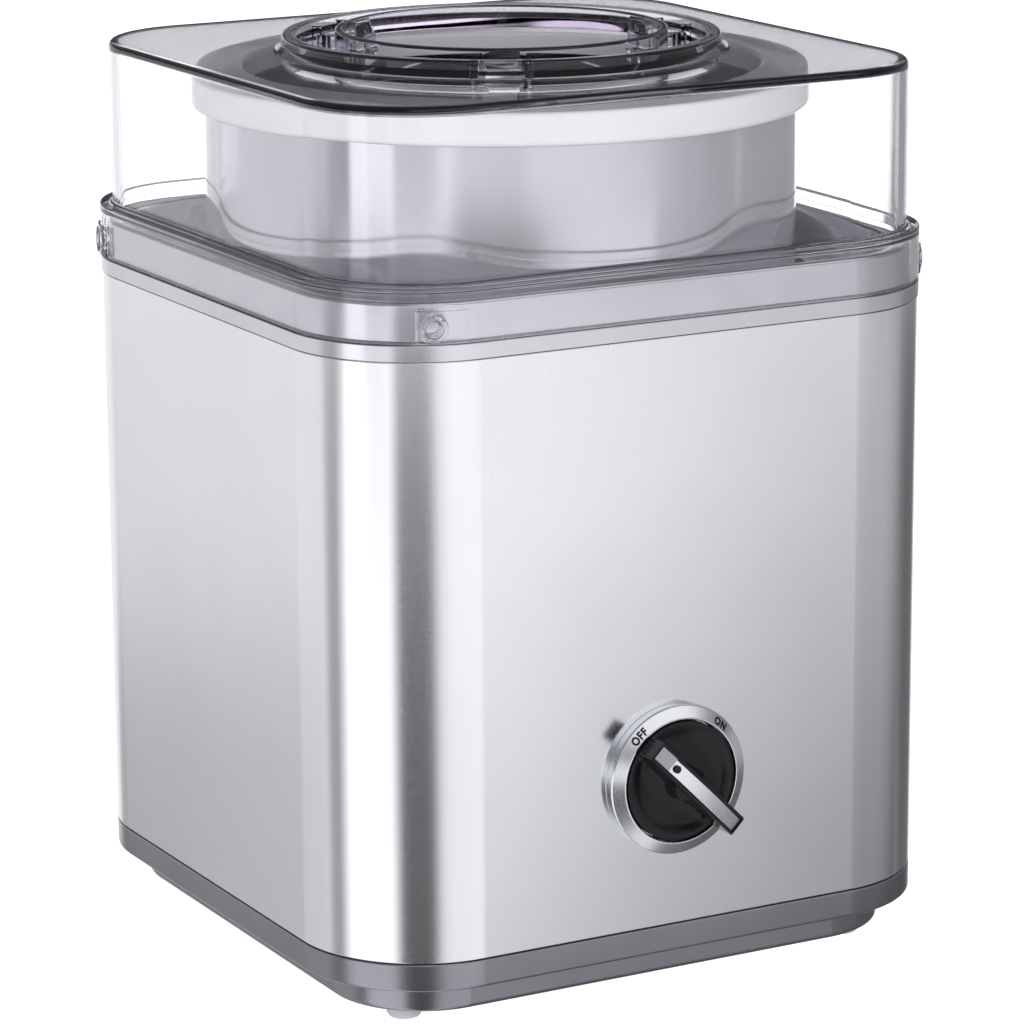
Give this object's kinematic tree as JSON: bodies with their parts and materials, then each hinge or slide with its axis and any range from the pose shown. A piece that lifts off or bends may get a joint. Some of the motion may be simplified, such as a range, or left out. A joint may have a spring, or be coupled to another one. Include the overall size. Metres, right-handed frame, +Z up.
{
  "type": "ice cream maker",
  "caption": "Countertop ice cream maker: square brushed-metal housing with a dial, a turning freezer bowl driven from below, a still mixing paddle and a clear square lid with a round spout.",
  "frame": {"origin": "on the axis the bowl turns about, at the level the feet stand on", "axes": "+Z up along the bowl's axis, -Y towards the front with the dial, +X to the right seen from the front"},
  "size_m": [0.2108, 0.2279, 0.2858],
  "materials": {
    "brushed_panel": "fine-grain brushed stainless",
    "silver_trim": "silver-painted plastic",
    "satin_silver": "satin silver",
    "grey_base": "gunmetal silver plastic",
    "dark_tub": "dark grey moulding",
    "grey_rubber": "soft grey rubber",
    "black_rubber": "black rubber grommet",
    "clear_smoke": "clear lightly smoked plastic",
    "pearl_shell": "pearl silver plastic",
    "white_rim": "white plastic",
    "liner_metal": "anodised aluminium",
    "coolant": "sealed freezing liquid",
    "black_gloss": "gloss black",
    "black_plastic": "black engineering plastic",
    "nylon": "natural nylon",
    "lead_jacket": "insulated wire",
    "copper": "enamelled copper wire",
    "brass": "plain brass",
    "steel": "zinc-plated steel"
  },
  "bodies": {
    "housing": {"base_skirt": "grey_base", "base_pan": "grey_base", "rubber_feet": "grey_rubber", "housing_wrap": "brushed_panel", "corner_columns": "grey_base", "bowl_tub": "dark_tub", "top_trim": "silver_trim", "column_screws": "steel", "pan_screws": "steel", "case_screws": "steel", "output_bushes": "brass", "gearcase_base": "black_plastic", "gearcase_cover": "black_plastic", "gear_pins": "steel", "stator_core": "steel", "coil_bobbin": "nylon", "motor_winding": "copper", "upper_bracket": "steel", "lower_bracket": "steel", "motor_bushes": "brass", "motor_screws": "steel", "dial_bezel": "satin_silver", "rotary_switch": "black_plastic", "switch_nut": "brass", "switch_terminals": "brass", "cord_gland": "black_rubber", "terminal_block": "nylon", "internal_leads": "lead_jacket"},
    "rotor": {"motor_rotor": "steel", "motor_shaft_rod": "steel", "cooling_fan": "nylon", "motor_pinion": "brass"},
    "first_gear": {"first_gear": "nylon"},
    "second_gear": {"second_gear": "nylon"},
    "turntable": {"drive_hub": "black_plastic", "output_gear": "nylon", "output_shaft": "steel", "hub_screw": "steel"},
    "bowl": {"bowl_shell": "pearl_shell", "bowl_liner": "liner_metal", "bowl_rim": "white_rim", "coolant_fill": "coolant", "fill_plug": "white_rim"},
    "paddle": {"mixing_paddle": "clear_smoke"},
    "lid": {"clear_lid": "clear_smoke"},
    "knob": {"knob_body": "black_gloss", "knob_insert": "satin_silver", "knob_tip": "satin_silver", "dial_shaft": "steel"}
  },
  "joints": [
    {"name": "drive_spin", "type": "hinge", "parent": "housing", "child": "turntable", "pos_m": [0, 0, 0.09], "axis": [0, 0, 1], "continuous": true},
    {"name": "second_gear_spin", "type": "hinge", "parent": "housing", "child": "second_gear", "pos_m": [0.045, 0, 0.07], "axis": [0, 0, 1], "continuous": true},
    {"name": "first_gear_spin", "type": "hinge", "parent": "housing", "child": "first_gear", "pos_m": [0.03474, 0.02819, 0.06], "axis": [0, 0, 1], "continuous": true},
    {"name": "rotor_spin", "type": "hinge", "parent": "housing", "child": "rotor", "pos_m": [0.01156, 0.0344, 0.03], "axis": [0, 0, 1], "continuous": true},
    {"name": "bowl_lift", "type": "slide", "parent": "turntable", "child": "bowl", "axis": [0, 0, 1], "range_m": [0, 0.135]},
    {"name": "paddle_lift", "type": "slide", "parent": "housing", "child": "paddle", "axis": [0, 0, 1], "range_m": [0, 0.3]},
    {"name": "lid_lift", "type": "slide", "parent": "paddle", "child": "lid", "axis": [0, 0, 1], "range_m": [0, 0.12]},
    {"name": "dial_turn", "type": "hinge", "parent": "housing", "child": "knob", "pos_m": [0, -0.105, 0.0702], "axis": [0, 1, 0], "range_deg": [0, 90]}
  ],
  "couplings": [
    {"joint": "second_gear_spin", "follows": "drive_spin", "ratio": -5},
    {"joint": "first_gear_spin", "follows": "drive_spin", "ratio": 20},
    {"joint": "rotor_spin", "follows": "drive_spin", "ratio": -100},
    {"joint": "paddle_lift", "follows": "bowl_lift", "ratio": 2.2}
  ]
}
